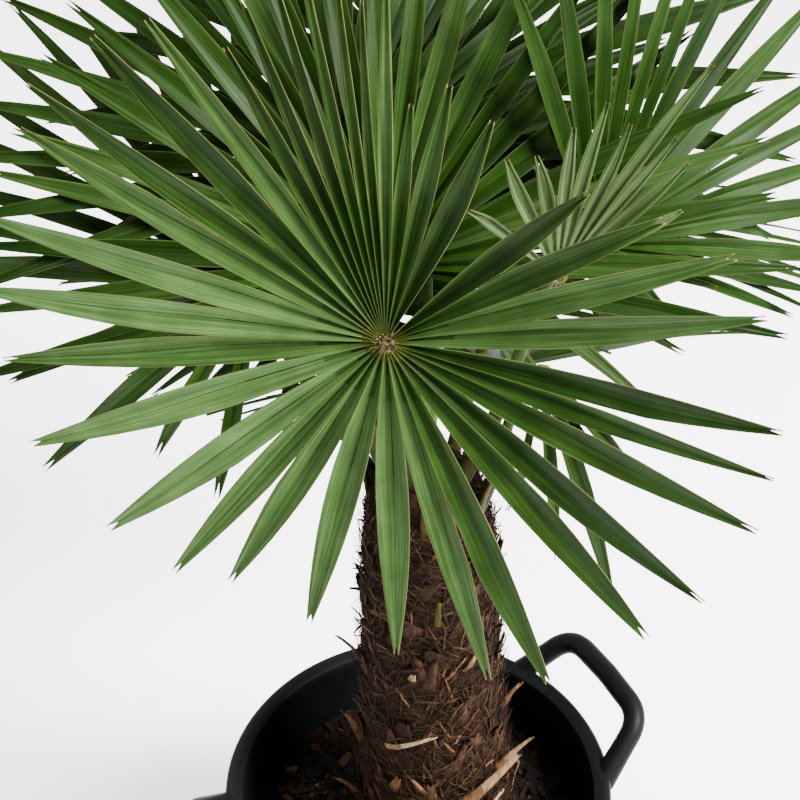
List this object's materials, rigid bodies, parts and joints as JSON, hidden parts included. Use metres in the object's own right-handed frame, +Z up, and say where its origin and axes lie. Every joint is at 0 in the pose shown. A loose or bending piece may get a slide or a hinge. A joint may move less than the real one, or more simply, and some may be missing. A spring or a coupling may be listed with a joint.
{
  "type": "potted windmill palm",
  "caption": "Windmill palm with pleated fan fronds over a short fibrous trunk, growing in a round black tub with loop handles.",
  "frame": {"origin": "middle of the tub's flat underside", "axes": "+Z up, the two loop handles along X, the large front frond towards -X and -Y"},
  "size_m": [0.8734, 0.904, 1.3638],
  "materials": {
    "tub_plastic": "satin black moulded plastic",
    "soil": "dark moist potting mix with bark chips",
    "trunk_fibre": "coarse brown fibre",
    "leaf": "satin green leaf",
    "stalk": "smooth green leaf stalk"
  },
  "bodies": {
    "root": {"tub": "tub_plastic", "handle_left": "tub_plastic", "handle_right": "tub_plastic", "soil": "soil", "trunk": "trunk_fibre", "spear": "leaf", "fan_front": "leaf", "fan_right": "leaf", "fan_top": "leaf", "fan_young": "leaf", "fan_back_top": "leaf", "fan_left_low": "leaf", "fan_left_top": "leaf", "fan_right_low": "leaf", "fan_back_right": "leaf", "fan_back_left": "leaf", "fan_back_low": "leaf", "stalk_front": "stalk", "stalk_right": "stalk", "stalk_top": "stalk", "stalk_young": "stalk", "stalk_back_top": "stalk", "stalk_left_low": "stalk", "stalk_left_top": "stalk", "stalk_right_low": "stalk", "stalk_back_right": "stalk", "stalk_back_left": "stalk", "stalk_back_low": "stalk"}
  },
  "joints": []
}
